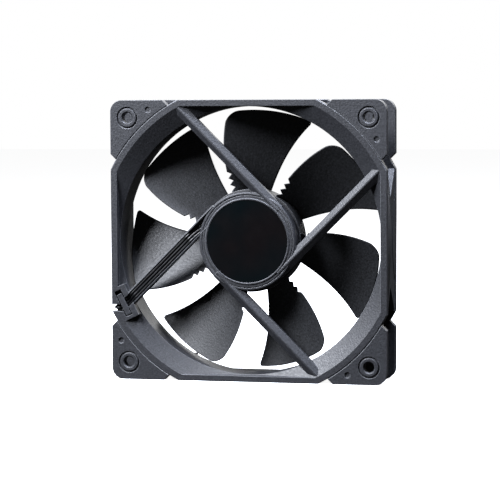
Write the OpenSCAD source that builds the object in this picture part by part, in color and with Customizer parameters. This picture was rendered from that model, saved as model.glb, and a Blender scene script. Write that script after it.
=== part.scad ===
// Axial case fan, 120 mm square and 25 mm deep.
// The shaft lies along Y. The exhaust side, with the struts and the motor plate,
// faces -Y, and the intake side faces +Y. X is to the right and Z is up.
// The origin is on the shaft, half way through the depth of the frame.

/* [Frame] */
// Width and height of the square frame
frame_size = 120; // [112:1:132]
// Depth of the frame along the shaft
frame_depth = 25; // [24:0.5:32]
// Thickness of each corner flange
flange_t = 4; // [3.5:0.25:5]
// Radius of the four outer corners
corner_r = 5; // [3:0.5:7]
// Length of a corner tab along the edge, from the corner
tab_len = 23; // [19:0.5:26]
// Chamfer where a corner tab ends
tab_chamfer = 2.4; // [1.5:0.1:3]
// Distance of a mounting hole from each outer edge
hole_inset = 7.5; // [7:0.1:8.5]
// Diameter of a mounting hole
hole_d = 4.4; // [4:0.1:5]
// Diameter of the boss around a mounting hole
boss_d = 8.4; // [7.6:0.1:9]
// Width of the groove around that boss
boss_groove = 0.5; // [0.3:0.05:0.8]

/* [Duct] */
// Wall between the throat and the flat outer side
side_wall = 2.8; // [2:0.1:4]
// Wall of the round barrel between the flanges
barrel_wall = 2.2; // [1.6:0.1:3]
// How far the exhaust mouth flares out beyond the throat
exhaust_flare = 7.3; // [5:0.1:8]
// How far the intake mouth flares out beyond the throat
intake_flare = 4.4; // [3:0.1:6]
// Length of the intake flare along the shaft
intake_len = 11; // [8:0.5:12]
// Width of the raised rim around the exhaust mouth
rim_w = 2.8; // [2:0.1:3.5]
// Width of the groove between the rim and the corner tabs
rim_groove = 0.5; // [0.3:0.05:0.8]

/* [Struts] */
// Distance of a strut's ridge from the shaft
strut_offset = 18.8; // [17:0.1:20]
// Width of a strut
strut_w = 5; // [4:0.1:6]
// Depth of a strut along the shaft
strut_t = 3.7; // [3:0.1:4]
// Drop from a strut's ridge to its shoulders
strut_slope = 1.5; // [0.8:0.1:2]
// Wall on each side of the wire channel
channel_wall = 0.7; // [0.5:0.05:1]

/* [Motor] */
// Outer diameter of the motor cup
cup_d = 42; // [40:0.5:44]
// Depth of the motor cup
cup_depth = 5.5; // [5:0.1:6]
// Thickness of the cup's floor
cup_floor = 1.4; // [1:0.1:1.8]
// Diameter of the rating label
label_d = 35; // [30:0.5:36]
// Diameter of the shaft
shaft_d = 3; // [2.5:0.1:3.5]
// Radial running clearance between shaft and bearing
bearing_clearance = 0.03; // [0.02:0.01:0.08]
// Outer diameter of the sleeve bearing
bearing_d = 6; // [5.5:0.1:6.6]
// Wall of the bearing tube
tube_wall = 1.2; // [0.9:0.1:1.6]
// Diameter of the stator over its poles
stator_d = 34.8; // [33:0.1:35]
// Height of the stator's lamination stack
stack_t = 6; // [5:0.5:7]
// Air gap between the poles and the magnet
air_gap = 0.4; // [0.3:0.05:0.6]
// Thickness of the magnet ring
magnet_t = 1.8; // [1.4:0.1:2]
// Thickness of the steel rotor cup
yoke_t = 0.8; // [0.6:0.1:1]
// Thickness of the circuit board
board_t = 1; // [0.8:0.1:1.2]

/* [Impeller] */
// Number of blades
blade_count = 7; // [5:1:9]
// Gap between the blade tips and the throat
tip_gap = 1.5; // [1:0.1:3]
// Wall of the hub around the rotor cup
hub_wall = 1.6; // [1.2:0.1:2]
// Radius of the hub's rounded front edge
hub_round = 7; // [5:0.5:8]
// Gap between the motor cup and the hub
hub_gap = 1; // [0.8:0.1:1.5]
// Set-back of the hub's front behind the intake face
hub_setback = 1; // [0.5:0.1:2]
// Thickness of a blade, measured along the shaft
blade_t = 1.7; // [1.2:0.1:2.2]
// Set-back of the leading edges behind the intake face
lead_setback = 3.3; // [2.5:0.1:4.5]
// Distance of the trailing edges from the motor cup
trail_gap = 2; // [1.5:0.1:3]
// Angle covered by a blade at the hub, in degrees
blade_arc_root = 37.6; // [30:0.2:38]
// Angle covered by a blade at the tip, in degrees
blade_arc_tip = 36.3; // [28:0.2:38]
// Angle by which the tip leads the root, in degrees
blade_sweep = 11.2; // [4:0.2:14]
// Camber of a blade, as a share of its depth
blade_camber = 0.35; // [0.1:0.05:0.5]

/* [Lead] */
// Outer diameter of one insulated wire
wire_d = 1.15; // [1.05:0.05:1.25]
// Diameter of the bundle of three wires
bundle_d = 2.5; // [2.4:0.05:2.6]
// Width of the clip bar over the wires
clip_bar_w = 2.2; // [1.8:0.1:2.6]
// Depth of the clip pocket and of the exit channel
pocket_t = 3.2; // [2.9:0.05:3.4]

/* [Hidden] */
eps = 0.01;
over = 1;                 // how far a cutting shape runs past a face
draw_fn = 96;

// Faces along the shaft
y_ex = -frame_depth / 2;
y_in = frame_depth / 2;

// Frame
half = frame_size / 2;
hole_at = half - hole_inset;
boss_drop = 0.8;
boss_edge = 0.45;
hole_lead = 0.5;
tab_recess = 0.25;
dimple_r = 1.35;
dimple_t = 0.6;
dimple_edge = 4.1;
dimple_along = 16.7;
edge_chamfer = 0.6;

// Duct
throat_r = half - side_wall;
flat_in = throat_r + 0.2;
mouth_r = throat_r + exhaust_flare;
rim_r = mouth_r + rim_w;
intake_r = throat_r + intake_flare;
barrel_r = throat_r + barrel_wall;
panel_t = half - throat_r;
panel_long = sqrt(rim_r * rim_r - half * half);
panel_short = 19;
panel_mid = -1.5;
flare_steps = 6;

// Struts. A strut's own frame runs outwards along X, at strut_offset below the shaft.
strut_turn = 45;
wire_turn = strut_turn + 180;
wire_pitch = wire_d + 0.1;
channel_w = 3 * wire_pitch + 0.3;
wire_strut_w = channel_w + 2 * channel_wall;
channel_t = wire_d + 0.5;
lip = 0.28;
ramp_far = 20;

// Clip bracket, at the outer end of the strut that carries the wires
clip_lean = 0.5;
clip_turn = wire_turn - asin(strut_offset / throat_r) + clip_lean;
clip_len = 14.8;
clip_slot_len = 11.9;
clip_slot_in = 2.4;
clip_slot_w = clip_bar_w + 1;
clip_bar_len = 9.6;
clip_bar_shift = 0.6;
clip_bar_t = 1.2;
clip_leg = 1.6;
exit_z = -29.2 * frame_size / 120;
exit_w = bundle_d + 0.5;

// Motor cup
cup_r = cup_d / 2;
cup_wall = 1.6;
cup_in = cup_r - cup_wall;
ledge_w = 1.2;
label_r = label_d / 2;
label_t = 0.15;
label_drop = 0.35;
ring_w = 0.9;
ring_step = 0.4;
y_floor = y_ex + cup_floor;
y_rim = y_ex + cup_depth;
y_board = y_ex + 3;
board_r = cup_in - 0.3;

// Bearing
shaft_r = shaft_d / 2;
bearing_r = bearing_d / 2;
tube_r = bearing_r + tube_wall;
pad_t = 0.8;
clip_y = y_floor + pad_t + 0.7;
clip_t = 0.4;
clip_ring_r = bearing_r - 0.4;
bearing_y0 = clip_y + clip_t + 0.3;

// Stator and rotor
stator_r = stator_d / 2;
magnet_in = stator_r + air_gap;
magnet_r = magnet_in + magnet_t;
yoke_r = magnet_r + yoke_t;
hub_r = yoke_r + hub_wall;
y_hub = y_rim + hub_gap;
y_hub_front = y_in - hub_setback;
hub_front_wall = 1.8;
y_yoke_top = y_hub_front - hub_front_wall;
yoke_slope = 3.3;
y_yoke = y_hub + 0.4;
stack_y0 = y_rim + 3.8;
stack_y1 = stack_y0 + stack_t;
insulator_t = 0.8;
coil_out = 1.8;
arm_w = 4;
pole_t = 2.4;
core_r = tube_r + 2.2;
tube_y1 = stack_y1 + 2.8;
bearing_y1 = tube_y1 - 1;
seal_t = 0.5;
bush_r = 3.2;
bush_y0 = tube_y1 + 0.7;
pin_r = 0.3;
pin_at = 8;

// Impeller
tip_r = throat_r - tip_gap;
root_r = hub_r - 3.4;
y_trail = y_rim + trail_gap;
y_lead = y_in - lead_setback;
trail_root = 111.6;
corner_trail = 4.6;
corner_lead = 1.8;
tooth_r0 = hub_r + 0.5;
tooth_pitch = 2.85;
tooth_depth = 1.5;
tooth_count = 3;
chord_steps = 10;

// Lead. The route is a list of points chosen by hand, [x, y, z].
floor_z = -half;
tie_t = 0.6;
coil_x = -47.2;
coil_y = 27.05;
coil_in = 9.05;
coil_wall = 5.2;
coil_h = 5.1;
coil_z = floor_z + tie_t;
run_start = [
    [-58.6, -7.9, -29.2], [-58.65, -6.5, -29.3], [-58.9, -4.4, -30.0], [-59.3, -2.0, -31.3],
    [-59.7, 0.8, -32.8], [-60.0, 3.8, -33.8], [-60.1, 6.8, -34.3], [-60.1, 9.8, -34.5],
    [-60.0, 12.6, -34.9], [-59.7, 14.9, -36.3], [-59.3, 16.2, -38.8], [-59.0, 16.7, -41.8],
    [-58.9, 16.9, -44.8], [-58.9, 17.1, -47.8], [-59.0, 17.7, -50.7], [-59.2, 18.6, -53.3],
    [-59.5, 20.0, -55.6], [-59.8, 22.0, -57.4], [-59.95, 24.8, -58.1]
];
run_end = [
    [-40.7, 15.8, -55.6], [-43.6, 14.5, -55.4], [-46.6, 14.0, -54.9], [-49.6, 14.3, -54.1],
    [-52.3, 15.4, -53.2], [-54.7, 17.3, -52.5], [-56.0, 19.3, -52.1], [-56.5, 21.2, -52.0],
    [-56.5, 22.5, -52.0]
];
plug_len = 13;
plug_w = 7.6;
plug_t = 4.6;
plug_at = [-56.5, 22.5, coil_z + coil_h];
pin_pitch = 2.54;

// ---- helpers ----

// Extrudes a shape drawn in X and Z from depth y0 to depth y1.
module slab(y0, y1) {
    translate([0, y1, 0]) rotate([90, 0, 0]) linear_extrude(y1 - y0) children();
}

// Turns a profile of [radius, y] points about the shaft.
module turned(points) {
    rotate([-90, 0, 0]) rotate_extrude($fn = draw_fn) polygon(points);
}

// A straight tube or rod about the shaft.
module rod(r, y0, y1) {
    slab(y0, y1) circle(r = r, $fn = draw_fn);
}

module pipe(r_out, r_in, y0, y1) {
    slab(y0, y1) difference() {
        circle(r = r_out, $fn = draw_fn);
        circle(r = r_in, $fn = draw_fn);
    }
}

// Turns a shape anticlockwise about the shaft, as seen from the exhaust side.
module spun(a) {
    rotate([0, -a, 0]) children();
}

module square_plate(s) {
    square([2 * s, 2 * s], center = true);
}

// Four copies, a quarter turn apart.
module four() {
    for (k = [0:3]) spun(90 * k) children();
}

// A tube swept along a list of points, as one closed polyhedron.
function unit(v) = v / norm(v);
function along(p, i) = unit(p[min(i + 1, len(p) - 1)] - p[max(i - 1, 0)]);
function side(t, ref) = unit(ref - (ref * t) * t);
function frames(p, i, ref) = i >= len(p) ? [] :
    let (t = along(p, i), s = side(t, ref))
    concat([[s, cross(t, s)]], frames(p, i + 1, s));
module swept(p, d, sides = 8, ref = [1, 0, 0]) {
    f = frames(p, 0, ref);
    ring = [for (i = [0:len(p) - 1]) for (k = [0:sides - 1])
        let (a = 360 * k / sides)
        p[i] + d / 2 * (cos(a) * f[i][0] + sin(a) * f[i][1])];
    walls = [for (i = [0:len(p) - 2]) for (k = [0:sides - 1])
        let (a = i * sides + k, b = i * sides + (k + 1) % sides)
        [a, a + sides, b + sides, b]];
    first = [for (k = [0:sides - 1]) k];
    last = [for (k = [sides - 1:-1:0]) (len(p) - 1) * sides + k];
    polyhedron(ring, concat(walls, [first], [last]), convexity = 8);
}

// ---- frame ----

module outline() {
    intersection() {
        union() {
            circle(r = rim_r, $fn = draw_fn);
            for (k = [0:3]) rotate(90 * k) tab_outline();
        }
        rounded_square();
    }
}

module tab_outline() {
    end = half - tab_len;
    low = end - tab_chamfer;
    polygon([
        [half, end], [half, half], [end, half], [low, half - tab_chamfer],
        [hole_at / 2, hole_at / 2], [half - tab_chamfer, low]
    ]);
}

module rounded_square() {
    in = half - corner_r;
    square([2 * in, 2 * half], center = true);
    square([2 * half, 2 * in], center = true);
    for (x = [-in, in]) for (z = [-in, in])
        translate([x, z]) circle(r = corner_r, $fn = 48);
}

// Inside of the duct: exhaust cone, throat and a rounded intake mouth, flat at four sides.
module duct_void() {
    y_a = y_ex + flange_t;
    y_b = y_in - intake_len;
    flare = [for (i = [1:flare_steps]) let (a = 90 * i / flare_steps)
        [throat_r + intake_flare * (1 - cos(a)), y_b + intake_len * sin(a)]];
    intersection() {
        turned(concat(
            [[0, y_ex - over], [mouth_r, y_ex - over], [mouth_r, y_ex], [throat_r, y_a], [throat_r, y_b]],
            flare, [[intake_r, y_in + over], [0, y_in + over]]));
        slab(y_ex - 2 * over, y_in + 2 * over) square_plate(flat_in);
    }
}

module barrel() {
    y_a = y_ex + flange_t - eps;
    y_b = y_in - flange_t + eps;
    y_c = y_in - intake_len;
    intersection() {
        turned([[0, y_a], [barrel_r, y_a], [barrel_r, y_c], [intake_r + 0.6, y_b], [0, y_b]]);
        slab(y_ex, y_in) square_plate(half);
    }
}

// Flat side panel between the flanges, with a notch in each end.
module side_panel() {
    y_a = y_ex + flange_t - eps;
    y_b = y_in - flange_t + eps;
    long = panel_long;
    translate([half - panel_t, 0, 0]) rotate([90, 0, 90]) linear_extrude(panel_t - tab_recess)
        polygon([
            [y_a, -long], [panel_mid, -panel_short], [y_b, -long],
            [y_b, long], [panel_mid, panel_short], [y_a, long]
        ]);
}

module hole_cut(y0, sense) {
    translate([hole_at, 0, hole_at]) {
        slab(y_ex - over, y_in + over) circle(r = hole_d / 2, $fn = 48);
        translate([0, y0, 0]) rotate([sense > 0 ? -90 : 90, 0, 0]) {
            difference() {
                translate([0, 0, -over])
                    cylinder(r = boss_d / 2 + boss_groove, h = over + boss_drop, $fn = 64);
                cylinder(r1 = boss_d / 2 - boss_edge, r2 = boss_d / 2, h = boss_edge, $fn = 64);
                translate([0, 0, boss_edge]) cylinder(r = boss_d / 2, h = boss_drop, $fn = 64);
            }
            translate([0, 0, -eps])
                cylinder(r1 = hole_d / 2 + hole_lead, r2 = hole_d / 2, h = hole_lead, $fn = 48);
        }
    }
}

module dimple(y0, sense) {
    translate([half - dimple_edge, y0, half - dimple_along]) rotate([sense > 0 ? -90 : 90, 0, 0])
        translate([0, 0, -eps]) cylinder(r1 = dimple_r, r2 = dimple_r * 0.7, h = dimple_t, $fn = 32);
}

// Groove around the rim, which sets the corner tabs apart from it.
module rim_line(y0) {
    slab(y0 - tab_recess, y0 + tab_recess) difference() {
        circle(r = rim_r + rim_groove / 2, $fn = draw_fn);
        circle(r = rim_r - rim_groove / 2, $fn = draw_fn);
    }
}

// Plain strut: a ridged bar along X.
module strut(length) {
    h = strut_w / 2;
    rotate([0, 90, 0]) linear_extrude(length) polygon([
        [-h, y_ex + strut_t], [-h, y_ex + strut_slope], [-0.3, y_ex + 0.1], [0.3, y_ex + 0.1],
        [h, y_ex + strut_slope], [h, y_ex + strut_t]
    ]);
}

// Strut with a channel for the three wires.
module wire_strut(length) {
    h = wire_strut_w / 2;
    c = channel_w / 2;
    rotate([0, 90, 0]) linear_extrude(length) polygon([
        [-h, y_ex + strut_t], [-h, y_ex + 2 * lip], [-c - 0.15, y_ex + lip], [-c, y_ex + 1.6 * lip],
        [-c, y_ex + channel_t], [c, y_ex + channel_t], [c, y_ex + 1.6 * lip], [c + 0.15, y_ex + lip],
        [h, y_ex + 2 * lip], [h, y_ex + strut_t]
    ]);
}

module struts() {
    reach = mouth_r + rim_w;
    intersection() {
        union() {
            for (k = [0, 1, 3]) spun(strut_turn + 90 * k)
                translate([0, 0, -strut_offset]) strut(reach);
            spun(wire_turn) translate([0, 0, -strut_offset]) wire_strut(reach);
        }
        slab(y_ex - over, y_in) intersection() {
            circle(r = mouth_r + rim_w / 2, $fn = draw_fn);
            square_plate(half - side_wall / 2);
        }
    }
}

module cup_body() {
    r1 = label_r + ring_w;
    turned([
        [0, y_floor], [0, y_ex + label_drop], [label_r, y_ex + label_drop], [label_r + 0.1, y_ex + 0.1],
        [label_r + 0.3, y_ex], [r1 - 0.2, y_ex], [r1, y_ex + ring_step], [cup_r - 1.5, y_ex + ring_step],
        [cup_r - 1.4, y_ex + 2 * ring_step], [cup_r - 1.2, y_ex + 2 * ring_step],
        [cup_r - 1.1, y_ex + ring_step], [cup_r - 0.5, y_ex + ring_step], [cup_r, y_ex + 2 * ring_step],
        [cup_r, y_rim], [cup_in, y_rim], [cup_in, y_board], [cup_in - ledge_w, y_board],
        [cup_in - ledge_w, y_floor]
    ]);
}

// Inside of the cup, kept free of the struts.
module cup_void() {
    turned([[0, y_floor], [cup_in - ledge_w, y_floor], [cup_in - ledge_w, y_board],
        [cup_in, y_board], [cup_in, y_rim + over], [0, y_rim + over]]);
}

// Window and ramp by which the wires reach the inside of the cup.
module wire_ramp() {
    o = strut_offset;
    c = channel_w / 2;
    spun(wire_turn) slab(y_floor, y_board) polygon([
        [ramp_far, -o - c], [12, -o - c + 0.2], [8, -o - c + 1.3], [3, -o - c + 3],
        [3, -o + c + 3.6], [8, -o + c + 1.8], [12, -o + c + 0.6], [ramp_far, -o + c]
    ]);
}

// Bracket over the flare, and the pocket, openings and exit cut into it.
module clip_block() {
    spun(clip_turn) slab(y_ex, y_ex + flange_t)
        translate([throat_r, -clip_len / 2]) square([mouth_r + rim_w / 2 - throat_r, clip_len]);
}

module clip_cuts() {
    y_a = y_ex - over;
    y_b = y_ex + pocket_t;
    spun(clip_turn) slab(y_a, y_b) {
        translate([throat_r + clip_slot_in, -clip_slot_len / 2]) square([clip_slot_w, clip_slot_len]);
    }
    spun(wire_turn) slab(y_a, y_b) translate([0, -strut_offset])
        polygon([
            [clip_reach(), -channel_w / 2], [clip_reach() + 6, -channel_w / 2],
            [clip_reach() + 6, channel_w / 2], [clip_reach(), channel_w / 2]
        ]);
    slab(y_a, y_b) translate([-half - over, exit_z - exit_w / 2])
        square([half + over - slot_left(), exit_w]);
    slab(y_a, y_ex + flange_t + 2.5) translate([-half - over, exit_z - exit_w / 2])
        square([over + 3.2, exit_w]);
}

// Distance along the wire strut at which it enters the bracket
function clip_reach() = sqrt(throat_r * throat_r - strut_offset * strut_offset) - 2.2;
// Left side of the pocket, where the exit channel starts
function slot_left() = 54.5 * frame_size / 120;

module fan_frame() {
    color("#3a3b3f") union() {
        difference() {
            union() {
                slab(y_ex, y_ex + flange_t) outline();
                slab(y_in - flange_t, y_in) outline();
                barrel();
                four() side_panel();
                intersection() {
                    clip_block();
                    slab(y_ex, y_in) square_plate(half);
                }
            }
            difference() {
                duct_void();
                clip_block();
            }
            four() {
                hole_cut(y_ex, 1);
                hole_cut(y_in, -1);
                dimple(y_ex, 1);
            }
            rim_line(y_ex);
            rim_line(y_in);
            clip_cuts();
        }
        difference() {
            struts();
            cup_void();
            wire_ramp();
            clip_cuts();
        }
        difference() {
            cup_body();
            wire_ramp();
        }
    }
}

module cable_clip() {
    r0 = throat_r + clip_slot_in + (clip_slot_w - clip_bar_w) / 2;
    a = -clip_bar_len / 2 + clip_bar_shift;
    color("#3a3b3f") spun(clip_turn) {
        slab(y_ex, y_ex + clip_bar_t) translate([r0, a]) square([clip_bar_w, clip_bar_len]);
        for (z = [a, a + clip_bar_len - clip_leg])
            slab(y_ex, y_ex + pocket_t) translate([r0, z]) square([clip_bar_w, clip_leg]);
    }
}

// ---- motor, fixed parts ----

module rating_label() {
    color("#17181c") rod(label_r - 0.05, y_ex + label_drop - label_t, y_ex + label_drop);
}

module bearing_tube() {
    color("#b9bcc0") pipe(tube_r, bearing_r, y_floor, tube_y1);
}

module sleeve_bearing() {
    color("#8f7a4d") pipe(bearing_r, shaft_r + bearing_clearance, bearing_y0, bearing_y1);
}

module thrust_pad() {
    color("#e4e1d6") rod(bearing_r, y_floor, y_floor + pad_t);
}

module oil_seal() {
    color("#26262a") pipe(bearing_r, shaft_r + 0.2, bearing_y1, bearing_y1 + seal_t);
}

module stator_plan(shoe_gap) {
    difference() {
        union() {
            circle(r = core_r, $fn = 64);
            for (k = [0:3]) rotate(90 * k)
                translate([0, -arm_w / 2]) square([stator_r - pole_t / 2, arm_w]);
            difference() {
                circle(r = stator_r, $fn = draw_fn);
                circle(r = stator_r - pole_t, $fn = draw_fn);
                for (k = [0:3]) rotate(90 * k + 45)
                    translate([0, -shoe_gap / 2]) square([2 * stator_r, shoe_gap]);
            }
        }
        circle(r = tube_r, $fn = 64);
    }
}

module stator_core() {
    color("#9a9da1") slab(stack_y0, stack_y1) stator_plan(2.6);
}

module insulator(y0, y1) {
    color("#d9d6c8") slab(y0, y1) {
        stator_plan(5);
        for (k = [0:3]) rotate(90 * k + 45) {
            translate([tube_r + 0.5, -1]) square([pin_at - tube_r - 0.5, 2]);
            translate([pin_at, 0]) circle(r = 1, $fn = 32);
        }
    }
}

module front_insulator() {
    insulator(stack_y0 - insulator_t, stack_y0);
}

module rear_insulator() {
    insulator(stack_y1, stack_y1 + insulator_t);
}

// Copper wound round one arm of the stator.
module winding() {
    r0 = core_r + 0.5;
    r1 = stator_r - pole_t - 0.4;
    grow = insulator_t + coil_out;
    color("#b5632c") difference() {
        slab(stack_y0 - grow, stack_y1 + grow) intersection() {
            polygon([[r0, -4], [r1, -6.2], [r1, 6.2], [r0, 4]]);
            circle(r = r1 + 0.2, $fn = 64);
        }
        slab(stack_y0 - insulator_t, stack_y1 + insulator_t)
            translate([0, -arm_w / 2]) square([stator_r, arm_w]);
    }
}

module coil_right() {
    winding();
}

module coil_top() {
    spun(90) winding();
}

module coil_left() {
    spun(180) winding();
}

module coil_bottom() {
    spun(270) winding();
}

module circuit_board() {
    color("#2f5d3a") slab(y_board, y_board + board_t) difference() {
        circle(r = board_r, $fn = draw_fn);
        circle(r = tube_r, $fn = 64);
        for (k = [0:3]) rotate(90 * k + 45) translate([pin_at, 0]) circle(r = pin_r, $fn = 24);
    }
}

// A part that stands on the inner side of the board, at radius r and angle a.
module board_part(r, a, long, wide, tall) {
    y0 = y_board + board_t;
    spun(a) slab(y0, y0 + tall) translate([r, 0]) square([wide, long], center = true);
}

module driver_chip() {
    color("#1d1d20") board_part(12.5, 100, 5, 4, 1.5);
}

module hall_sensor() {
    color("#232327") board_part(16.3, 45, 4, 1.6, 1.5);
}

module board_capacitor() {
    color("#a78a5e") board_part(13, 190, 3.2, 1.6, 1.4);
}

module board_resistors() {
    color("#202024") for (a = [225:25:275]) board_part(13, a, 2, 1.25, 0.55);
}

module winding_pins() {
    color("#c9ccd0") for (k = [0:3]) spun(90 * k + 45) translate([pin_at, 0, 0])
        slab(y_board - 0.4, stack_y0 - insulator_t) circle(r = pin_r, $fn = 24);
}

// ---- leads ----

// A point beside the wire strut: x outwards along it, o from the shaft.
function at_strut(x, o, y) =
    [x * cos(wire_turn) + o * sin(wire_turn), y, x * sin(wire_turn) - o * cos(wire_turn)];

// Route of one wire, from its joint on the board to the notch in the flange.
// k is -1, 0 or 1, its place across the channel.
function wire_route(k) =
    let (
        o = strut_offset + k * wire_pitch,
        y_in_cup = y_board - wire_d / 2,
        y_open = y_ex + channel_t - wire_d / 2 - 0.05,
        y_low = y_ex + pocket_t - wire_d / 2 - 0.15,
        x_far = clip_reach() + 2.2,
        e = k * wire_d * 0.52,
        u = k == 0 ? -0.7 : 0.35,
        bend = at_strut(x_far + 4.6, strut_offset, y_low)
    )
    [
        at_strut(-0.5, o - 4.4, y_in_cup), at_strut(3, o - 3.2, y_in_cup - 0.08),
        at_strut(8, o - 1.4, y_in_cup - 0.08), at_strut(12, o - 0.35, y_in_cup - 0.1),
        at_strut(15, o, y_in_cup - 0.6), at_strut(17.5, o, y_open - 0.1), at_strut(20.5, o, y_open),
        at_strut(30, o, y_open), at_strut(40, o, y_open), at_strut(x_far - 4, o, y_open),
        at_strut(x_far - 1.5, o, y_open - 0.05), at_strut(x_far + 1.2, o, y_low - 0.2),
        at_strut(x_far + 3, o, y_low), at_strut(x_far + 4.6, o, y_low),
        [bend[0] - 1 - 0.1 * k, y_low + 0.2 * u - 0.2, exit_z + 0.3 + 2.15 * e],
        [bend[0] - 2.4 + 0.1 * k, y_low + u - 0.35, exit_z + e],
        [-half + 1.9 + 0.7 * u, y_low + 0.7 * u, exit_z + e],
        [-half + 1.4 + u, y_low + 1.1, exit_z + e], [-half + 1.4 + u, run_start[0][1], exit_z + e]
    ];

module wire(k, shade) {
    color(shade) swept(wire_route(k), wire_d);
}

module ground_wire() {
    wire(-1, "#1a1a1c");
}

module supply_wire() {
    wire(0, "#1a1a1c");
}

module signal_wire() {
    wire(1, "#1a1a1c");
}

module lead_run() {
    color("#1a1a1c") swept(run_start, bundle_d);
}

module lead_tail() {
    color("#1a1a1c") swept(run_end, bundle_d);
}

module lead_coil() {
    color("#1a1a1c") translate([coil_x, coil_y, coil_z]) rotate_extrude($fn = 64)
        translate([coil_in, 0]) square([coil_wall, coil_h]);
}

// Wire tie, bent round all turns of the coil.
module lead_tie() {
    t = tie_t;
    color("#2a2a2d") translate([coil_x, coil_y, coil_z]) rotate([0, 0, 35]) intersection() {
        rotate_extrude($fn = 64) translate([coil_in - t, -t]) difference() {
            square([coil_wall + 2 * t, coil_h + 2 * t]);
            translate([t, t]) square([coil_wall, coil_h]);
        }
        translate([0, -1.5, -over]) cube([2 * coil_in, 3, coil_h + 2 * over]);
    }
}

module plug_housing() {
    color("#1b1b1d") translate(plug_at) difference() {
        union() {
            translate([-plug_w / 2, 0, 0]) cube([plug_w, plug_len, plug_t]);
            for (x = [-pin_pitch, pin_pitch]) translate([x - 0.5, 3, plug_t - eps])
                cube([1, plug_len - 3, 0.8]);
        }
        for (x = [-pin_pitch:pin_pitch:pin_pitch]) translate([x - 0.9, 4, 1.2])
            cube([1.8, plug_len - 4 + over, 2.2]);
    }
}

module plug_contacts() {
    color("#c4a860") translate(plug_at) for (x = [-pin_pitch:pin_pitch:pin_pitch])
        translate([x - 0.9, 4, 1.2]) difference() {
            cube([1.8, plug_len - 5, 2.2]);
            translate([0.3, 2, 0.3]) cube([1.2, plug_len, 1.6]);
        }
}

// ---- rotor ----

// Turned outline shared by the hollow of the hub and the rotor cup.
function cup_outline(r, y_top, y0) =
    [[0, y0], [r, y0], [r, y_top - yoke_slope], [r - yoke_slope, y_top], [0, y_top]];

function hub_outline() = concat(
    [[0, y_hub], [hub_r, y_hub]],
    [for (i = [0:8]) let (a = 90 * i / 8)
        [hub_r - hub_round + hub_round * cos(a), y_hub_front - hub_round + hub_round * sin(a)]],
    [[0, y_hub_front]]);

// Place of a radius between root and tip, 0 to 1
function span_at(r) = (r - hub_r) / (tip_r - hub_r);
// Angles of the trailing and the leading edge at a radius, before their corners are rounded
function trail_angle(r) = let (u = span_at(r)) trail_root - blade_sweep * (u + u * abs(u)) / 2;
function arc_angle(r) = let (u = span_at(r)) blade_arc_root + (blade_arc_tip - blade_arc_root) * u * u;
// Set-back of an edge at a corner of radius c
function corner(r, c) = let (x = max(r - (tip_r - c), 0)) c - sqrt(max(c * c - x * x, 0));
// Depth of the middle surface at a share s of the way from trailing to leading edge
function mid_y(s) = y_trail + (y_lead - y_trail) * (s + blade_camber * s * (1 - s));
function half_t(w) = blade_t / 2 * (0.3 + 0.7 * sqrt(sin(180 * w)));

// Rows of a blade, each [radius, set-back of the serrated trailing edge]
function blade_rows() = concat(
    [[root_r, 0], [tooth_r0, 0]],
    [for (i = [1:2 * tooth_count]) [tooth_r0 + i * tooth_pitch / 2, i % 2 == 1 ? tooth_depth : 0]],
    [for (r = [35:4.5:tip_r - corner_trail - 1]) [r, 0]],
    [for (a = [0:15:90]) [tip_r - corner_trail * (1 - sin(a)), 0]]);

function blade_point(row, w, sense) =
    let (
        r = row[0],
        arc = arc_angle(r),
        per_mm = 180 / (PI * r) / arc,
        s0 = (corner(r, corner_trail) + row[1]) * per_mm,
        s1 = 1 - corner(r, corner_lead) * per_mm,
        s = s0 + (s1 - s0) * w,
        a = trail_angle(r) - arc * s
    )
    [r * cos(a), mid_y(s) + sense * half_t(w), r * sin(a)];

// One blade: a grid of rows, each a closed loop over the one face and back over the other.
module blade() {
    rows = blade_rows();
    n = chord_steps;
    loop = 2 * n + 2;
    points = [for (row = rows) each concat(
        [for (i = [0:n]) blade_point(row, (1 - cos(180 * i / n)) / 2, 1)],
        [for (i = [n:-1:0]) blade_point(row, (1 - cos(180 * i / n)) / 2, -1)])];
    walls = [for (j = [0:len(rows) - 2]) for (i = [0:loop - 1])
        let (a = j * loop + i, b = j * loop + (i + 1) % loop)
        [a, b, b + loop, a + loop]];
    last = (len(rows) - 1) * loop;
    caps = [for (i = [0:n - 1]) each [
        [i, loop - 1 - i, loop - 2 - i, i + 1],
        [last + i, last + i + 1, last + loop - 2 - i, last + loop - 1 - i]]];
    polyhedron(points, concat(walls, caps), convexity = 6);
}

module impeller() {
    color("#333438") difference() {
        union() {
            turned(hub_outline());
            for (k = [0:blade_count - 1]) spun(360 * k / blade_count) blade();
        }
        turned(cup_outline(yoke_r, y_yoke_top, y_hub - over));
    }
}

module rotor_cup() {
    color("#8d9095") difference() {
        turned(cup_outline(yoke_r, y_yoke_top, y_yoke));
        turned(cup_outline(yoke_r - yoke_t, y_yoke_top - yoke_t, y_yoke - over));
        rod(bush_r, y_yoke, y_yoke_top + over);
    }
}

module magnet_ring() {
    color("#3b3836") pipe(magnet_r, magnet_in, stack_y0 - 0.8, stack_y1 + 0.8);
}

module shaft_bush() {
    color("#b8964e") pipe(bush_r, shaft_r, bush_y0, y_yoke_top);
}

module shaft() {
    groove_r = shaft_r - 0.35;
    y0 = y_floor + pad_t + 0.05;
    color("#d3d5d8") turned([
        [0, y0], [shaft_r - 0.3, y0], [shaft_r, y0 + 0.3], [shaft_r, clip_y], [groove_r, clip_y],
        [groove_r, clip_y + clip_t], [shaft_r, clip_y + clip_t], [shaft_r, y_yoke_top], [0, y_yoke_top]
    ]);
}

module shaft_clip() {
    color("#d8d4c4") difference() {
        pipe(clip_ring_r, shaft_r - 0.35, clip_y, clip_y + clip_t);
        slab(clip_y - over, clip_y + clip_t + over)
            translate([0, -0.5]) square([clip_ring_r + 1, 1]);
    }
}

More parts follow.
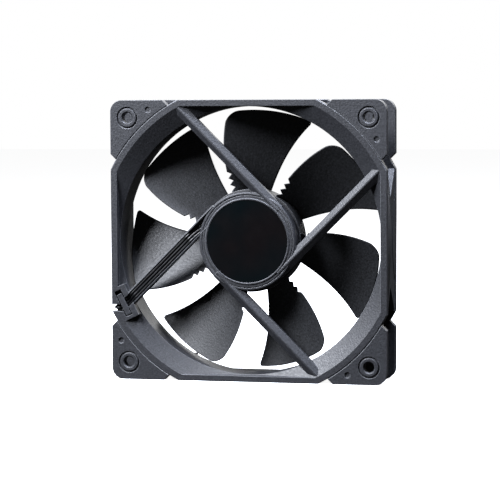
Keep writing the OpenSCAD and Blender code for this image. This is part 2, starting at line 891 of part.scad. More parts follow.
fan_frame();
cable_clip();
rating_label();
bearing_tube();
sleeve_bearing();
thrust_pad();
oil_seal();
stator_core();
front_insulator();
rear_insulator();
coil_right();
coil_top();
coil_left();
coil_bottom();
circuit_board();
driver_chip();
hall_sensor();
board_capacitor();
board_resistors();
winding_pins();
ground_wire();
supply_wire();
signal_wire();
lead_run();
lead_coil();
lead_tail();
lead_tie();
plug_housing();
plug_contacts();
impeller();
rotor_cup();
magnet_ring();
shaft_bush();
shaft();
shaft_clip();
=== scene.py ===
import bmesh
import bpy
import math
import numpy as np
from mathutils import Matrix, Vector


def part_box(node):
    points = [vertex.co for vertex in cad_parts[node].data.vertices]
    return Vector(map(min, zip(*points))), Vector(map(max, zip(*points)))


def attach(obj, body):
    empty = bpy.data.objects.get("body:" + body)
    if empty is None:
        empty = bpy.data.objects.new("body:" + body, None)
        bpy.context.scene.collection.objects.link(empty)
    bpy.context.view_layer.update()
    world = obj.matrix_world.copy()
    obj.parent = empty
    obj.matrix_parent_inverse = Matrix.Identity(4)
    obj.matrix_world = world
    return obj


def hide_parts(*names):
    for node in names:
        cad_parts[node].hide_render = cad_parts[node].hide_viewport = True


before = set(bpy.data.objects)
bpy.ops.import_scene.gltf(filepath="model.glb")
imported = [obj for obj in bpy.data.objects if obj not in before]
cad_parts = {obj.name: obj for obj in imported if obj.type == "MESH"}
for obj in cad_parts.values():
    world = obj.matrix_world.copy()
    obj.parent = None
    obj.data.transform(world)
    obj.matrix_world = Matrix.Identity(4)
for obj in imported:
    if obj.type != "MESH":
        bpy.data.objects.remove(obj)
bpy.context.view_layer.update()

# ---- camera ----
# A long lens, a little to the right of the shaft and a little above it, on the exhaust side.
camera_at = Vector((0.21696, -0.9000, 0.06105))
camera_aim = Vector((-0.00165, 0.0, -0.00447))
camera_roll = math.radians(-0.293)
camera = bpy.data.cameras.new("camera")
camera.lens = 155.57
camera.sensor_width = 36.0
camera.clip_start = 0.05
camera.clip_end = 20.0
camera_obj = bpy.data.objects.new("camera", camera)
bpy.context.scene.collection.objects.link(camera_obj)
camera_turn = (camera_aim - camera_at).to_track_quat("-Z", "Y").to_matrix()
camera_turn = camera_turn @ Matrix.Rotation(camera_roll, 3, "Z")
camera_obj.matrix_world = Matrix.Translation(camera_at) @ camera_turn.to_4x4()
bpy.context.scene.camera = camera_obj
bpy.context.scene.view_settings.view_transform = "Standard"

# ---- free lead ----
# Three PVC-insulated wires laid side by side, limp, about 0.34 m long from the flange to the
# plug. The part that isn't in use is wound into a coil that stands behind the lower left corner.
MM = 0.001
frame_low, frame_high = (np.array(v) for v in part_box("fan_frame"))
coil_low, coil_high = (np.array(v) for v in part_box("lead_coil"))


def mesh_object(name, points, faces, smooth=True):
    """A mesh object from an array of points and a list or array of faces."""
    mesh = bpy.data.meshes.new(name)
    mesh.from_pydata(np.asarray(points).tolist(), [], [list(map(int, f)) for f in faces])
    mesh.polygons.foreach_set("use_smooth", np.full(len(mesh.polygons), smooth))
    mesh.update()
    obj = bpy.data.objects.new(name, mesh)
    bpy.context.scene.collection.objects.link(obj)
    return obj


def grid_faces(rows, cols, closed=False):
    """Quads of a grid of points, row by row; closed joins the last column to the first."""
    i, j = np.meshgrid(np.arange(rows - 1), np.arange(cols if closed else cols - 1), indexing="ij")
    k = (j + 1) % cols
    return np.stack([i * cols + j, i * cols + k, (i + 1) * cols + k, (i + 1) * cols + j], -1).reshape(-1, 4)


def smooth_route(points, step):
    """A Catmull-Rom curve through the points: cubic pieces whose tangent at each point is half the
    way from its neighbour before to its neighbour after, sampled about every step."""
    p = np.asarray(points, float)
    p = np.vstack([2 * p[0] - p[1], p, 2 * p[-1] - p[-2]])
    out = []
    for a, b, c, d in zip(p[:-3], p[1:-2], p[2:-1], p[3:]):
        n = max(2, int(np.linalg.norm(c - b) / step + 0.5))
        t = (np.arange(n) / n)[:, None]
        out.append(0.5 * (2 * b + (c - a) * t + (2 * a - 5 * b + 4 * c - d) * t**2
                          + (3 * b - 3 * c + d - a) * t**3))
    return np.vstack(out + [p[-2:-1]])


def route_frames(path, first):
    """Unit tangent and two unit normals at each point; each normal is the one before it, made
    square to the new tangent, so the section doesn't twist."""
    tangent = np.gradient(path, axis=0)
    tangent /= np.linalg.norm(tangent, axis=1)[:, None]
    side = np.zeros_like(path)
    s = np.array(first, float)
    for i, t in enumerate(tangent):
        s = s - t * (s @ t)
        s /= np.linalg.norm(s)
        side[i] = s
    return tangent, side, np.cross(tangent, side)


def tube(name, path, radius_at, count, first=(1, 0, 0)):
    """A closed tube: at each point of the path, a loop at radius_at(angle, length so far)."""
    _, side, up = route_frames(path, first)
    run = np.concatenate([[0], np.cumsum(np.linalg.norm(np.diff(path, axis=0), axis=1))])
    a = np.linspace(0, 2 * math.pi, count, endpoint=False)
    radius = radius_at(a[None, :], run[:, None])
    loop = path[:, None] + radius[..., None] * (
        np.cos(a)[None, :, None] * side[:, None] + np.sin(a)[None, :, None] * up[:, None])
    rows = len(path)
    faces = grid_faces(rows, count, closed=True).tolist()
    points = np.vstack([loop.reshape(-1, 3), path[:1], path[-1:]])
    first_end, last_end = rows * count, rows * count + 1
    for j in range(count):
        k = (j + 1) % count
        faces.append([first_end, k, j])
        faces.append([last_end, (rows - 1) * count + j, (rows - 1) * count + k])
    return mesh_object(name, points, faces), run


wire_d = 1.15 * MM
bundle_d = 2.5 * MM
run_start = np.array([
    [-58.6, -7.9, -29.2], [-58.65, -6.5, -29.3], [-58.9, -4.4, -30.0], [-59.3, -2.0, -31.3],
    [-59.7, 0.8, -32.8], [-60.0, 3.8, -33.8], [-60.1, 6.8, -34.3], [-60.1, 9.8, -34.5],
    [-60.0, 12.6, -34.9], [-59.7, 14.9, -36.3], [-59.3, 16.2, -38.8], [-59.0, 16.7, -41.8],
    [-58.9, 16.9, -44.8], [-58.9, 17.1, -47.8], [-59.0, 17.7, -50.7], [-59.2, 18.6, -53.3],
    [-59.5, 20.0, -55.6], [-59.8, 22.0, -57.4], [-59.95, 24.8, -58.1]]) * MM
run_end = np.array([
    [-40.7, 15.8, -55.6], [-43.6, 14.5, -55.4], [-46.6, 14.0, -54.9], [-49.6, 14.3, -54.1],
    [-52.3, 15.4, -53.2], [-54.7, 17.3, -52.5], [-56.0, 19.3, -52.1], [-56.5, 21.2, -52.0],
    [-56.5, 22.5, -52.0]]) * MM
coil_turns = 3
coil_mid = (coil_low + coil_high) / 2
radius_out = (coil_high[0] - coil_low[0]) / 2 - bundle_d / 2 - 0.05 * MM
radius_in = radius_out - bundle_d - 0.1 * MM
layer_low = coil_low[2] + bundle_d / 2 + 0.03 * MM
layer_high = coil_high[2] - bundle_d / 2 - 0.03 * MM


def coil_route():
    """Turns clockwise as seen from above: outer and inner turn below, inner and outer turn above.
    The last tenth of each turn eases over to the next by a cosine."""
    start = math.atan2(run_start[-1][1] - coil_mid[1], run_start[-1][0] - coil_mid[0])
    end = math.atan2(run_end[0][1] - coil_mid[1], run_end[0][0] - coil_mid[0])
    sweep = 2 * math.pi * coil_turns + (start - end) % (2 * math.pi)
    s = np.linspace(0, sweep, 48 * coil_turns)[1:-1]
    place = s / (2 * math.pi)
    turn = np.minimum(place.astype(int), coil_turns)
    ease = np.clip((place - turn - 0.88) / 0.12, 0, 1)
    ease = (1 - np.cos(math.pi * ease)) / 2
    radii = np.array([radius_out, radius_in, radius_in, radius_out, radius_out])
    levels = np.array([layer_low, layer_low, layer_high, layer_high, layer_high])
    r = radii[turn] + (radii[turn + 1] - radii[turn]) * ease
    z = levels[turn] + (levels[turn + 1] - levels[turn]) * ease
    a = start - s
    return np.stack([coil_mid[0] + r * np.cos(a), coil_mid[1] + r * np.sin(a), z], 1)


lead_path = smooth_route(np.vstack([run_start, coil_route(), run_end]), 1.0 * MM)
lobe_twist = 2 * math.pi / (42 * MM)


def three_wires(a, run):
    """Outline of three round wires that touch: the largest of the three circles in the direction a.
    The three turn slowly round one another along the lead."""
    wire_r, out = wire_d / 2, wire_d / math.sqrt(3)
    best = np.full(np.broadcast_shapes(a.shape, run.shape), 0.3 * MM)
    for k in range(3):
        b = a - 2 * math.pi * k / 3 - lobe_twist * run
        inside = np.maximum(wire_r**2 - (out * np.sin(b))**2, 0)
        hit = np.where((out * np.abs(np.sin(b)) < wire_r) & (np.cos(b) > 0),
                       out * np.cos(b) + np.sqrt(inside), 0)
        best = np.maximum(best, hit)
    return best


lead, lead_run_length = tube("lead", lead_path, three_wires, 30)
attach(lead, "root")
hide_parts("lead_run", "lead_coil", "lead_tail")


def linear(code):
    """An sRGB hex colour as linear red, green, blue and alpha."""
    v = [int(code[i:i + 2], 16) / 255 for i in (1, 3, 5)]
    return [((x + 0.055) / 1.055)**2.4 if x > 0.04045 else x / 12.92 for x in v] + [1.0]


def add(tree, kind, settings=None, links=None):
    """Adds a node, sets its properties and its sockets, and links sockets to outputs."""
    n = tree.nodes.new(kind)
    for key, value in (settings or {}).items():
        if key in n.inputs:
            n.inputs[key].default_value = value
        else:
            setattr(n, key, value)
    for key, source in (links or {}).items():
        tree.links.new(source, n.inputs[key])
    return n


def ramp(tree, source, stops):
    """A colour ramp over a value, from pairs of position and hex colour."""
    r = add(tree, "ShaderNodeValToRGB", links={"Fac": source})
    e = r.color_ramp.elements
    while len(e) < len(stops):
        e.new(0.5)
    for item, (at, code) in zip(e, stops):
        item.position = at
        item.color = linear(code)
    return r.outputs["Color"]


def surface(name, settings, colour=None, rough=None, bump=None):
    """A material with one principled shader. colour, rough and bump are functions that take the
    node tree and the object coordinates and return an output; bump also gives strength and depth."""
    m = bpy.data.materials.new(name)
    m.use_nodes = True
    t = m.node_tree
    t.nodes.clear()
    out = add(t, "ShaderNodeOutputMaterial")
    p = add(t, "ShaderNodeBsdfPrincipled", settings)
    t.links.new(p.outputs["BSDF"], out.inputs["Surface"])
    at = add(t, "ShaderNodeTexCoord").outputs["Object"]
    if colour:
        t.links.new(colour(t, at), p.inputs["Base Color"])
    if rough:
        t.links.new(rough(t, at), p.inputs["Roughness"])
    if bump:
        height, strength, depth = bump(t, at)
        b = add(t, "ShaderNodeBump", {"Strength": strength, "Distance": depth}, {"Height": height})
        t.links.new(b.outputs["Normal"], p.inputs["Normal"])
    return m


def noise(t, at, per_m, detail=2.0, roughness=0.5):
    """Soft noise with per_m cells to the metre."""
    return add(t, "ShaderNodeTexNoise", {"Scale": per_m, "Detail": detail, "Roughness": roughness},
               {"Vector": at}).outputs["Fac"]


def spread(t, source, low, high):
    """A noise value, clamped and stretched to run from low to high."""
    return add(t, "ShaderNodeMapRange", {"From Min": 0.3, "From Max": 0.7, "To Min": low, "To Max": high},
               {"Value": source}).outputs["Result"]


# Soft PVC insulation, extruded: a dull black with a slight waxy shine.
wire_pvc = surface(
    "black_pvc_insulation", {"Base Color": linear("#0a0a0b"), "Roughness": 0.34, "IOR": 1.45},
    colour=lambda t, at: ramp(t, noise(t, at, 260), [(0.35, "#070708"), (0.65, "#0f0f11")]),
    rough=lambda t, at: spread(t, noise(t, at, 900), 0.32, 0.46),
    bump=lambda t, at: (noise(t, at, 2500), 0.15, 0.05 * MM))
lead.data.materials.append(wire_pvc)

# ---- held wires ----
# The same three wires, from the circuit board through the ramp and the channel of one strut,
# under the clip bar and out through the notch in the flange. They are laid in and clipped.
strut_offset = 18.8 * MM
wire_turn = math.radians(225)
wire_pitch = wire_d + 0.1 * MM
y_ex = frame_low[1]
throat_r = 57.2 * MM


def at_strut(x, o, y):
    """A point beside the wire strut: x outwards along it, o from the shaft, at the depth y."""
    c, s = math.cos(wire_turn), math.sin(wire_turn)
    return (x * c + o * s, y, x * s - o * c)


def wire_route(k):
    """The route of wire k (-1, 0 or 1, its place across the channel), point by point: out of the
    cup, along the channel, under the clip bar, and turned into a triangle at the notch."""
    o = strut_offset + k * wire_pitch
    y_cup = y_ex + 3 * MM - wire_d / 2
    y_open = y_ex + wire_d / 2 + 0.45 * MM
    y_low = y_ex + 3.2 * MM - wire_d / 2 - 0.15 * MM
    x_far = math.sqrt(throat_r**2 - strut_offset**2)
    e = k * wire_d * 0.52
    u = (-0.7 if k == 0 else 0.35) * MM
    exit_z = -29.2 * MM
    left = frame_low[0]
    bend = at_strut(x_far + 4.6 * MM, strut_offset, y_low)
    near = [(-0.5, -4.4, y_cup), (3, -3.2, y_cup - 0.08 * MM), (8, -1.4, y_cup - 0.08 * MM),
            (12, -0.35, y_cup - 0.1 * MM), (15, 0, y_cup - 0.6 * MM), (17.5, 0, y_open - 0.1 * MM),
            (20.5, 0, y_open), (30, 0, y_open), (40, 0, y_open)]
    far = [(-4, y_open), (-1.5, y_open - 0.05 * MM), (1.2, y_low - 0.2 * MM), (3, y_low), (4.6, y_low)]
    return ([at_strut(x * MM, o + d * MM, y) for x, d, y in near]
            + [at_strut(x_far + x * MM, o, y) for x, y in far]
            + [(bend[0] - (1 + 0.1 * k) * MM, y_low + 0.2 * u - 0.2 * MM, exit_z + 0.3 * MM + 2.15 * e),
               (bend[0] - (2.4 - 0.1 * k) * MM, y_low + u - 0.35 * MM, exit_z + e),
               (left + 1.9 * MM + 0.7 * u, y_low + 0.7 * u, exit_z + e),
               (left + 1.4 * MM + u, y_low + 1.1 * MM, exit_z + e),
               (left + 1.4 * MM + u, run_start[0][1], exit_z + e)])


for k, name in ((-1, "ground_wire"), (0, "supply_wire"), (1, "signal_wire")):
    held, _ = tube(name + "_insulation", smooth_route(wire_route(k), 0.7 * MM),
                   lambda a, run: np.full(np.broadcast_shapes(a.shape, run.shape), wire_d / 2), 16)
    held.data.materials.append(wire_pvc)
    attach(held, "root")
    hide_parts(name)

# ---- frame ----
# One piece of glass-filled PBT, injection moulded in charcoal grey with a fine spark texture:
# two square flanges, the duct between them, four struts and the motor cup.
edge_round = 0.3 * MM
hole_at = 52.5 * MM
corner_at = 55.0 * MM


def turned_normals(p, n, axes):
    """Normals for the corners of triangles on surfaces that are turned round an axis along Y.

    Where a triangle's own normal has no part along the turning direction at its middle, each
    corner gets the same outward and axial parts, turned to that corner's own place."""
    out = np.repeat(n[:, None], 3, axis=1)
    middle = p.mean(axis=1)
    for (x, z), reach in axes:
        flat = np.stack([middle[:, 0] - x, middle[:, 2] - z], 1)
        r = np.linalg.norm(flat, axis=1)
        e = flat / np.maximum(r, 1e-9)[:, None]
        across = n[:, 0] * -e[:, 1] + n[:, 2] * e[:, 0]
        outward = n[:, 0] * e[:, 0] + n[:, 2] * e[:, 1]
        hit = (np.abs(across) < 0.035) & (np.abs(outward) > 0.02) & (r < reach)
        c = np.stack([p[hit, :, 0] - x, p[hit, :, 2] - z], -1)
        c /= np.maximum(np.linalg.norm(c, axis=-1), 1e-9)[..., None]
        out[hit] = np.stack([outward[hit, None] * c[..., 0],
                             np.repeat(n[hit, 1:2], 3, axis=1), outward[hit, None] * c[..., 1]], -1)
    return out / np.linalg.norm(out, axis=-1)[..., None]


def smooth_copy(name, node, axes):
    """A merged copy of a CAD node whose turned surfaces are shaded smooth."""
    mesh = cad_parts[node].data.copy()
    mesh.name = name
    mesh.materials.clear()
    bm = bmesh.new()
    bm.from_mesh(mesh)
    bmesh.ops.remove_doubles(bm, verts=bm.verts, dist=0.0002 * MM)
    bm.to_mesh(mesh)
    bm.free()
    obj = bpy.data.objects.new(name, mesh)
    bpy.context.scene.collection.objects.link(obj)
    v = np.empty(len(mesh.vertices) * 3)
    mesh.vertices.foreach_get("co", v)
    k = np.empty(len(mesh.loops), int)
    mesh.loops.foreach_get("vertex_index", k)
    p = v.reshape(-1, 3)[k].reshape(-1, 3, 3)
    n = np.cross(p[:, 1] - p[:, 0], p[:, 2] - p[:, 0])
    size = np.linalg.norm(n, axis=1)
    n = n / np.maximum(size, 1e-20)[:, None]
    n[size < 1e-14] = (0, -1, 0)
    mesh.polygons.foreach_set("use_smooth", np.full(len(mesh.polygons), True))
    mesh.normals_split_custom_set(turned_normals(p, n, axes).reshape(-1, 3).tolist())
    return obj


def moulded(name, dark, light, rough_low, rough_high, grain_size=1.0):
    """Moulded plastic with a fine spark texture. Grains are about 0.6 mm apart, twice as coarse as
    real ones, so that they show. The Bevel node rounds every edge a little, and where it turns the
    normal the colour is mixed towards a pale grey: a painted highlight along every edge."""
    m = surface(name, {"Base Color": linear(dark), "IOR": 1.5},
                colour=lambda t, at: ramp(t, noise(t, at, 1500 / grain_size, 3.0, 0.6),
                                          [(0.3, dark), (0.72, light)]),
                rough=lambda t, at: spread(t, noise(t, at, 1200, 2.0), rough_low, rough_high),
                bump=lambda t, at: (noise(t, at, 1300 / grain_size, 3.0, 0.65), 0.65,
                                    0.2 * grain_size**2 * MM))
    t = m.node_tree
    round_edge = add(t, "ShaderNodeBevel", {"samples": 6, "Radius": edge_round}).outputs["Normal"]
    p, b = (next(n for n in t.nodes if n.bl_idname == kind)
            for kind in ("ShaderNodeBsdfPrincipled", "ShaderNodeBump"))
    t.links.new(round_edge, b.inputs["Normal"])
    flat = add(t, "ShaderNodeNewGeometry").outputs["Normal"]
    turn = add(t, "ShaderNodeVectorMath", {"operation": "DOT_PRODUCT"},
               {0: round_edge, 1: flat}).outputs["Value"]
    # Painted highlight: where the rounded normal turns away, the colour goes up to 45 % of the way to pale
    # grey #a9abb0, in grooves as well as on ridges.
    edge = add(t, "ShaderNodeMapRange", {"From Min": 0.985, "From Max": 0.8, "To Max": 0.45},
               {"Value": turn}).outputs["Result"]
    grain = p.inputs["Base Color"].links[0].from_socket
    painted_edge_highlight = add(t, "ShaderNodeMixRGB", {"Color2": linear("#a9abb0")}, {"Fac": edge, "Color1": grain})
    t.links.new(painted_edge_highlight.outputs["Color"], p.inputs["Base Color"])
    return m


# Charcoal PBT, spark textured: mid grey where light grazes it, with a painted pale highlight along its edges.
moulded_charcoal = moulded("moulded_charcoal_plastic", "#1a1b1e", "#313236", 0.42, 0.56)
corners = [(sx * hole_at, sz * hole_at) for sx in (-1, 1) for sz in (-1, 1)]
rounds = [(sx * corner_at, sz * corner_at) for sx in (-1, 1) for sz in (-1, 1)]
frame_shell = smooth_copy("frame_shell", "fan_frame",
                          [((0, 0), 1.0)] + [(c, 6 * MM) for c in corners] + [(c, 5.1 * MM) for c in rounds])
frame_shell.data.materials.append(moulded_charcoal)
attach(frame_shell, "root")
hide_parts("fan_frame")


def dress(node, material):
    """Gives a CAD node its material."""
    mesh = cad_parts[node].data
    mesh.materials.clear()
    mesh.materials.append(material)


dress("cable_clip", moulded_charcoal)

# ---- rating label ----
# A round sticker of glossy black film, pressed into the recess of the motor cup. It is blank.
# Polyester film, gloss laminated: near black, its faint waviness catches the light, and large blotches of
# bluish and brownish black are painted in as a reflection.
label_film = surface(
    "glossy_black_film", {"Base Color": linear("#06090b"), "Roughness": 0.16, "IOR": 1.4},
    # Painted reflection: blotches about 25 mm across, bluish black and brownish black.
    colour=lambda t, at: ramp(t, noise(t, at, 40), [(0.35, "#050a0c"), (0.65, "#0b090a")]),
    rough=lambda t, at: spread(t, noise(t, at, 160), 0.13, 0.22),
    bump=lambda t, at: (noise(t, at, 120), 0.1, 0.08 * MM))
dress("rating_label", label_film)

# ---- impeller ----
# One moulded piece of the same plastic: a round hub and seven swept blades. The trailing edges
# have three small teeth near the hub.
hub_low, hub_high = (np.array(v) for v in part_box("impeller"))
hub_r = 22.0 * MM
hub_round = 7 * MM
yoke_r = 20.4 * MM
tip_r = throat_r - 1.5 * MM
y_trail = y_ex + 7.5 * MM
y_lead = frame_high[1] - 3.3 * MM
trail_root, sweep = math.radians(111.6), math.radians(11.2)
arc_root, arc_tip = math.radians(37.6), math.radians(36.3)
camber = 0.35
blade_t = 1.7 * MM
corner_trail, corner_lead = 4.6 * MM, 1.8 * MM
tooth_r0, tooth_pitch, tooth_depth, tooth_count = hub_r + 0.5 * MM, 2.85 * MM, 1.5 * MM, 3
edge_r = 0.62 * MM
blade_count = 7


def blade_sheet():
    """One blade as a grid of radius by a loop round the section.

    Along the chord s runs from trailing to leading edge; the angle falls evenly with s and the
    depth rises as s + camber * s * (1 - s). The half thickness is that of a slim lens whose edges
    are rounded to a half circle, and it runs out the same way at the tip."""
    teeth = tooth_r0 + np.arange(0, 2 * tooth_count * 6 + 1) * tooth_pitch / 12
    inner = np.linspace(hub_r - 3.4 * MM, tooth_r0, 6)[:-1]
    middle = np.linspace(teeth[-1], tip_r - corner_trail, 22)[1:-1]
    corner = tip_r - corner_trail * (1 - np.sin(np.linspace(0, math.pi / 2, 22)))
    r = np.concatenate([inner, teeth, middle, corner])[:, None]
    u = (r - hub_r) / (tip_r - hub_r)
    trail = trail_root - sweep * (u + u * np.abs(u)) / 2
    arc = arc_root + (arc_tip - arc_root) * u**2

    def set_back(radius):
        x = np.clip(r - (tip_r - radius), 0, radius)
        return radius - np.sqrt(radius**2 - x**2)
    wave = np.abs(((r - tooth_r0) / tooth_pitch) % 1.0 - 0.5) * 2
    in_teeth = (r >= tooth_r0) & (r <= teeth[-1] + 1e-9)
    notch = np.where(in_teeth, tooth_depth * (1 - wave), 0)
    s0 = (set_back(corner_trail) + notch) / (r * arc)
    s1 = 1 - set_back(corner_lead) / (r * arc)
    n = 44
    w = (1 - np.cos(np.linspace(0, math.pi, n)))[None, :] / 2
    s = s0 + (s1 - s0) * w
    to_edge = np.minimum(s - s0, s1 - s) * r * arc
    half = blade_t / 2 * (0.62 + 0.38 * np.sin(math.pi * np.clip(s, 0, 1)))
    half = half * np.sqrt(1 - (1 - np.clip(to_edge / edge_r, 0, 1))**2)
    half = half * np.sqrt(1 - (1 - np.clip((tip_r - r) / (0.5 * MM), 0, 1))**2)
    a = trail - arc * s
    y = y_trail + (y_lead - y_trail) * (s + camber * s * (1 - s))
    front = np.stack([r * np.cos(a), y - half, r * np.sin(a)], -1)
    back = np.stack([r * np.cos(a), y + half, r * np.sin(a)], -1)
    return np.concatenate([back, front[:, -2:0:-1]], axis=1)


def turned(profile, count):
    """A profile of radius and depth, turned round the shaft; a radius of nought is one pole."""
    profile = np.asarray(profile)
    a = np.linspace(0, 2 * math.pi, count, endpoint=False)
    ring = np.stack([profile[:, :1] * np.cos(a), np.repeat(profile[:, 1:], count, 1),
                     profile[:, :1] * np.sin(a)], -1)
    return ring


def finish_mesh(obj, crease=None):
    """Merges doubled points and turns every face outwards."""
    bm = bmesh.new()
    bm.from_mesh(obj.data)
    bmesh.ops.remove_doubles(bm, verts=bm.verts, dist=0.001 * MM)
    bmesh.ops.dissolve_degenerate(bm, edges=bm.edges, dist=0.0005 * MM)
    bmesh.ops.recalc_face_normals(bm, faces=bm.faces)
    if crease:
        for e in bm.edges:
            if len(e.link_faces) == 2 and e.calc_face_angle() > math.radians(crease):
                e.smooth = False
    bm.to_mesh(obj.data)
    bm.free()


sheet = blade_sheet()
points, faces = [], []
for k in range(blade_count):
    a = 2 * math.pi * k / blade_count
    c, s = math.cos(a), math.sin(a)
    p = sheet.reshape(-1, 3)
    turned_p = np.stack([p[:, 0] * c - p[:, 2] * s, p[:, 1], p[:, 0] * s + p[:, 2] * c], -1)
    base = sum(len(q) for q in points)
    points.append(turned_p)
    faces.append(grid_faces(sheet.shape[0], sheet.shape[1], closed=True) + base)
blades = mesh_object("blades", np.vstack(points), np.vstack(faces))
finish_mesh(blades)

y_hub, y_front = hub_low[1], hub_high[1]
y_inside = y_front - 1.8 * MM
cup_bevel = 3.3 * MM
arc90 = np.linspace(0, math.pi / 2, 20)
rim_break = 0.25 * MM
gate_r, gate_depth = 4.0 * MM, 0.25 * MM
hub_profile = np.vstack([
    [[0, y_inside], [yoke_r - cup_bevel, y_inside], [yoke_r, y_inside - cup_bevel], [yoke_r, y_hub]],
    [[hub_r - rim_break, y_hub], [hub_r - 0.28 * rim_break, y_hub + 0.28 * rim_break],
     [hub_r, y_hub + rim_break]],
    np.stack([hub_r - hub_round * (1 - np.cos(arc90)), y_front - hub_round * (1 - np.sin(arc90))], 1),
    [[gate_r + 0.2 * MM, y_front], [gate_r, y_front - gate_depth], [0.3 * gate_r, y_front - gate_depth],
     [0, y_front - gate_depth]]])
ring = turned(hub_profile, 160)
hub = mesh_object("hub", ring.reshape(-1, 3), grid_faces(ring.shape[0], ring.shape[1], closed=True))
finish_mesh(hub, crease=40)
# The same plastic in a darker shade, a little coarser: it sparkles on the lit blades only, and has the same
# painted pale highlight along its edges.
moulded_rotor = moulded("moulded_dark_plastic", "#0b0c0d", "#2b2c2f", 0.46, 0.6, 1.1)
for piece in (blades, hub):
    piece.data.materials.append(moulded_rotor)
    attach(piece, "rotor")
    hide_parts("impeller")

# ---- motor inside the hub ----
# Steel rotor cup with a bonded ferrite ring, ground steel shaft in a sintered bearing, a stack
# of stamped laminations with four enamelled copper windings, and a small round circuit board.
# Drawn steel, zinc plated: a soft grey sheen, a little uneven from the press.
pressed_steel = surface(
    "drawn_zinc_plated_steel", {"Base Color": linear("#a2a5a9"), "Metallic": 1.0, "Roughness": 0.35},
    rough=lambda t, at: spread(t, noise(t, at, 500), 0.28, 0.42),
    bump=lambda t, at: (noise(t, at, 1500), 0.1, 0.03 * MM))
# Stamped silicon steel sheets, 0.5 mm each: a dull grey stack, so fine lines run round its edge.
laminations = surface(
    "stamped_silicon_steel", {"Base Color": linear("#8b8e92"), "Metallic": 1.0, "Roughness": 0.42},
    colour=lambda t, at: ramp(t, noise(t, at, 400), [(0.3, "#7d8084"), (0.7, "#9a9da1")]),
    bump=lambda t, at: (add(t, "ShaderNodeTexWave", {"bands_direction": "Y", "Scale": 320.0},
                            {"Vector": at}).outputs["Fac"], 0.5, 0.06 * MM))
# Hardened and ground steel: the brightest piece, with a tight highlight.
ground_steel = surface(
    "ground_hardened_steel", {"Base Color": linear("#d0d2d5"), "Metallic": 1.0, "Roughness": 0.16},
    rough=lambda t, at: spread(t, noise(t, at, 700), 0.12, 0.22))
# Bonded ferrite, moulded: matt brown-black with a fine grit.
ferrite = surface(
    "bonded_ferrite", {"Base Color": linear("#322f2e"), "Roughness": 0.6},
    colour=lambda t, at: ramp(t, noise(t, at, 900), [(0.3, "#2a2827"), (0.7, "#3d3a38")]),
    bump=lambda t, at: (noise(t, at, 2200), 0.3, 0.05 * MM))
# Sintered bronze, soaked in oil: a dark gold with open pores.
sintered_bronze = surface(
    "oiled_sintered_bronze", {"Base Color": linear("#8f7a4d"), "Metallic": 1.0, "Roughness": 0.45},
    colour=lambda t, at: ramp(t, noise(t, at, 1800), [(0.35, "#6f5d39"), (0.65, "#9f8857")]),
    bump=lambda t, at: (noise(t, at, 3500), 0.3, 0.04 * MM))
# Nickel-plated brass: clean and pale, slightly soft from the plating.
plated_brass = surface(
    "nickel_plated_brass", {"Base Color": linear("#bfc1c2"), "Metallic": 1.0, "Roughness": 0.25},
    rough=lambda t, at: spread(t, noise(t, at, 600), 0.2, 0.32))
# Turned brass: yellow, with a satin highlight.
turned_brass = surface(
    "turned_brass", {"Base Color": linear("#b8964e"), "Metallic": 1.0, "Roughness": 0.28},
    rough=lambda t, at: spread(t, noise(t, at, 600), 0.22, 0.36))
# Enamelled copper wire, wound: red-brown under a clear coat, ribbed turn by turn.
enamelled_copper = surface(
    "enamelled_copper_wire", {"Base Color": linear("#b0602c"), "Metallic": 0.9, "Roughness": 0.3,
                              "Coat Weight": 0.6, "Coat Roughness": 0.15},
    bump=lambda t, at: (add(t, "ShaderNodeTexWave", {"bands_direction": "DIAGONAL", "Scale": 700.0},
                            {"Vector": at}).outputs["Fac"], 0.8, 0.1 * MM))
# Natural nylon, moulded: ivory and slightly translucent.
ivory_nylon = surface(
    "ivory_nylon", {"Base Color": linear("#d9d6c8"), "Roughness": 0.5, "Subsurface Weight": 0.1},
    rough=lambda t, at: spread(t, noise(t, at, 800), 0.42, 0.58),
    bump=lambda t, at: (noise(t, at, 1800), 0.15, 0.04 * MM))
# Solder resist over glass-epoxy board: a smooth, slightly mottled green.
solder_resist = surface(
    "green_solder_resist", {"Base Color": linear("#2f5d3a"), "Roughness": 0.32},
    colour=lambda t, at: ramp(t, noise(t, at, 300), [(0.42, "#28532f"), (0.58, "#366a43")]),
    rough=lambda t, at: spread(t, noise(t, at, 700), 0.26, 0.4))
# Epoxy chip packages, transfer moulded: matt black with a fine tooth.
chip_epoxy = surface(
    "moulded_epoxy", {"Base Color": linear("#1d1d20"), "Roughness": 0.55},
    bump=lambda t, at: (noise(t, at, 4000), 0.3, 0.03 * MM))
# Fired ceramic: an even tan with a low gloss.
fired_ceramic = surface(
    "fired_ceramic", {"Base Color": linear("#a78a5e"), "Roughness": 0.4},
    colour=lambda t, at: ramp(t, noise(t, at, 1500), [(0.35, "#9a7d52"), (0.65, "#b2966a")]))
# Nitrile rubber, moulded: soft, matt black.
nitrile = surface(
    "nitrile_rubber", {"Base Color": linear("#1c1c1f"), "Roughness": 0.6},
    bump=lambda t, at: (noise(t, at, 2500), 0.2, 0.03 * MM))
for node, material in {
    "bearing_tube": plated_brass, "sleeve_bearing": sintered_bronze, "thrust_pad": ivory_nylon,
    "oil_seal": nitrile, "stator_core": laminations, "front_insulator": ivory_nylon,
    "rear_insulator": ivory_nylon, "coil_right": enamelled_copper, "coil_top": enamelled_copper,
    "coil_left": enamelled_copper, "coil_bottom": enamelled_copper, "circuit_board": solder_resist,
    "driver_chip": chip_epoxy, "hall_sensor": chip_epoxy, "board_capacitor": fired_ceramic,
    "board_resistors": chip_epoxy, "winding_pins": plated_brass, "rotor_cup": pressed_steel,
    "magnet_ring": ferrite, "shaft_bush": turned_brass, "shaft": ground_steel, "shaft_clip": ivory_nylon,
}.items():
    dress(node, material)

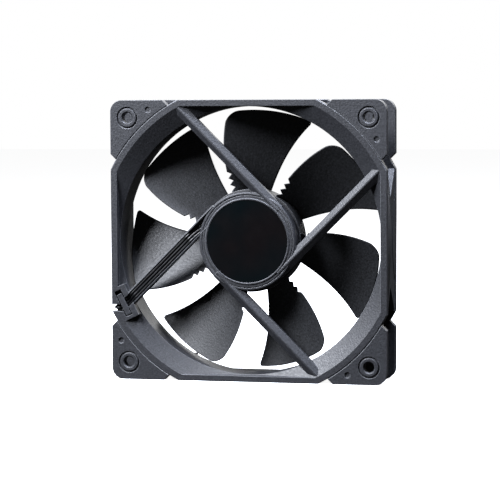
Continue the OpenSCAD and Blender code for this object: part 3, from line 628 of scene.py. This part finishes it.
# ---- plug ----
# Three-way female plug of black nylon with plated spring contacts, and a coated wire tie
# twisted round the coil.
# Nylon, moulded: black with a low satin shine.
black_nylon = surface(
    "black_nylon", {"Base Color": linear("#1a1a1c"), "Roughness": 0.42},
    rough=lambda t, at: spread(t, noise(t, at, 900), 0.35, 0.5),
    bump=lambda t, at: (noise(t, at, 2500), 0.2, 0.04 * MM))
dress("plug_housing", black_nylon)
dress("plug_contacts", turned_brass)
dress("lead_tie", nitrile)

# ---- floor and light ----
# A plain pale floor, a soft key in front of the upper left corner, a cooler light above and a
# weak one behind. The studio around is white to the eye, but sheds little light of its own.
floor_z = float(frame_low[2])
floor_half = 4.0
floor = mesh_object("floor", [(x * floor_half, y * floor_half, floor_z)
                              for x, y in ((-1, -1), (1, -1), (1, 1), (-1, 1))], [(0, 1, 2, 3)], smooth=False)
# Matt white paper sweep, lit evenly, so that the floor stays as pale as the studio around it.
pale = surface("pale_floor", {"Base Color": linear("#f4f4f4"), "Roughness": 0.9, "Specular IOR Level": 0.0,
                               "Emission Color": linear("#ffffff"), "Emission Strength": 0.93})
floor.data.materials.append(pale)
floor.visible_diffuse = False
floor.visible_glossy = False
world = bpy.data.worlds.new("studio")
world.use_nodes = True
world_tree = world.node_tree
seen = add(world_tree, "ShaderNodeLightPath").outputs["Is Camera Ray"]
ambient = add(world_tree, "ShaderNodeMapRange", {"To Min": 0.035, "To Max": 1.0},
              {"Value": seen}).outputs["Result"]
backdrop = world_tree.nodes["Background"]
backdrop.inputs["Color"].default_value = linear("#ffffff")
world_tree.links.new(ambient, backdrop.inputs["Strength"])
bpy.context.scene.world = world


def lamp(name, at, size, power, tint):
    """A square area light at a place, facing the shaft's middle."""
    data = bpy.data.lights.new(name, "AREA")
    data.shape = "SQUARE"
    data.size = size
    data.energy = power
    data.color = linear(tint)[:3]
    obj = bpy.data.objects.new(name, data)
    bpy.context.scene.collection.objects.link(obj)
    turn = (-Vector(at)).to_track_quat("-Z", "Y").to_matrix().to_4x4()
    obj.matrix_world = Matrix.Translation(Vector(at)) @ turn


lamp("key", (-0.32, -0.4, 0.46), 0.25, 16.0, "#f2f6ff")
lamp("above", (0.16, -0.08, 0.6), 0.2, 12.0, "#e4ecff")
lamp("behind", (0.2, 0.9, 0.5), 0.6, 5.0, "#ffffff")
